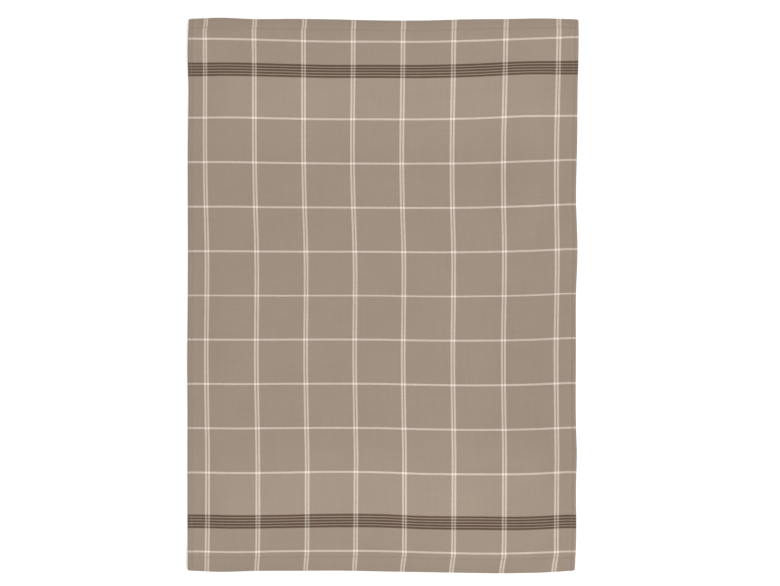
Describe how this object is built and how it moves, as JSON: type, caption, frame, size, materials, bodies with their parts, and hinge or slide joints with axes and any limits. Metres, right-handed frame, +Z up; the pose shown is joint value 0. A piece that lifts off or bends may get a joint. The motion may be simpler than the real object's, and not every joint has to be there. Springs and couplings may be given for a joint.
{
  "type": "tea towel",
  "caption": "Woven cotton tea towel lying flat, with narrow side hems, deeper end hems, a fine cream check and thin brown stripes near both ends.",
  "frame": {"origin": "under the middle of the towel's box, on the surface that it lies on", "axes": "+X across the towel, +Y along it towards the end with the shallower hem, +Z up out of its face"},
  "size_m": [0.4972, 0.7056, 0.0045],
  "materials": {
    "cotton_cloth": "plain woven beige-brown cotton with woven cream and dark brown stripes, matt"
  },
  "bodies": {
    "root": {"towel_cloth": "cotton_cloth"}
  },
  "joints": []
}
